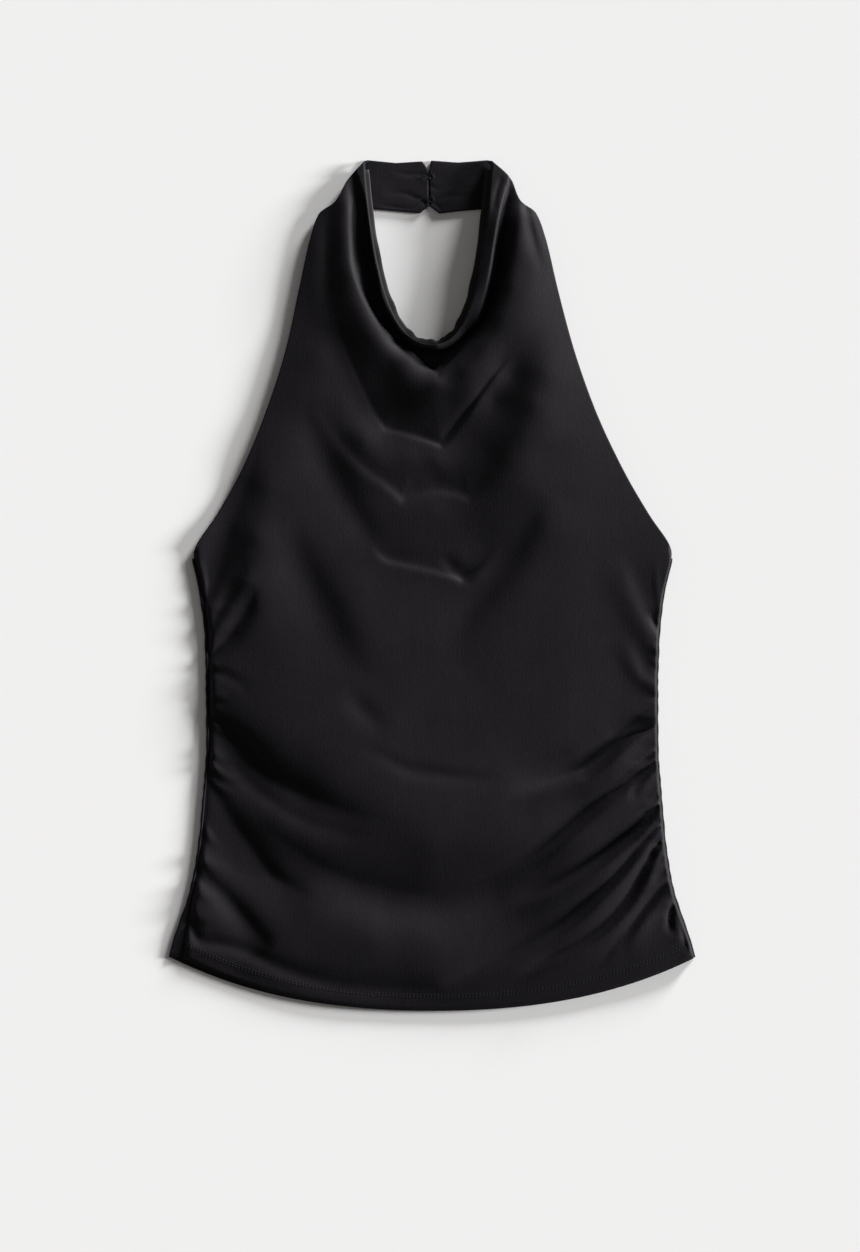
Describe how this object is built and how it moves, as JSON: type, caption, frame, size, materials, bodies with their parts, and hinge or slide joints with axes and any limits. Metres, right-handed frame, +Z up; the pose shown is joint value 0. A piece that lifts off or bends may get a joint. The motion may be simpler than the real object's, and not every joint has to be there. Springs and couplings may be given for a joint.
{
  "type": "halter neck top",
  "caption": "Halter neck top in satin jersey with a draped cowl front, gathered side seams and an open back, laid out flat on its back.",
  "frame": {"origin": "middle of the top's outline seen from above, on the surface that it lies on", "axes": "+Y from the hem to the neck, +X to the right seen from above with the neck up, +Z up from the surface"},
  "size_m": [0.439, 0.709, 0.0233],
  "materials": {
    "satin_jersey": "soft satin sheen, near black",
    "facing_jersey": "matt inner side of the jersey, near black",
    "lacquered_wire": "black lacquered wire"
  },
  "bodies": {
    "root": {"front_panel": "satin_jersey", "back_panel": "satin_jersey", "neckband_left": "satin_jersey", "neckband_right": "satin_jersey", "neck_facing": "facing_jersey", "hook_upper": "lacquered_wire", "hook_lower": "lacquered_wire", "eye_upper": "lacquered_wire", "eye_lower": "lacquered_wire"}
  },
  "joints": []
}
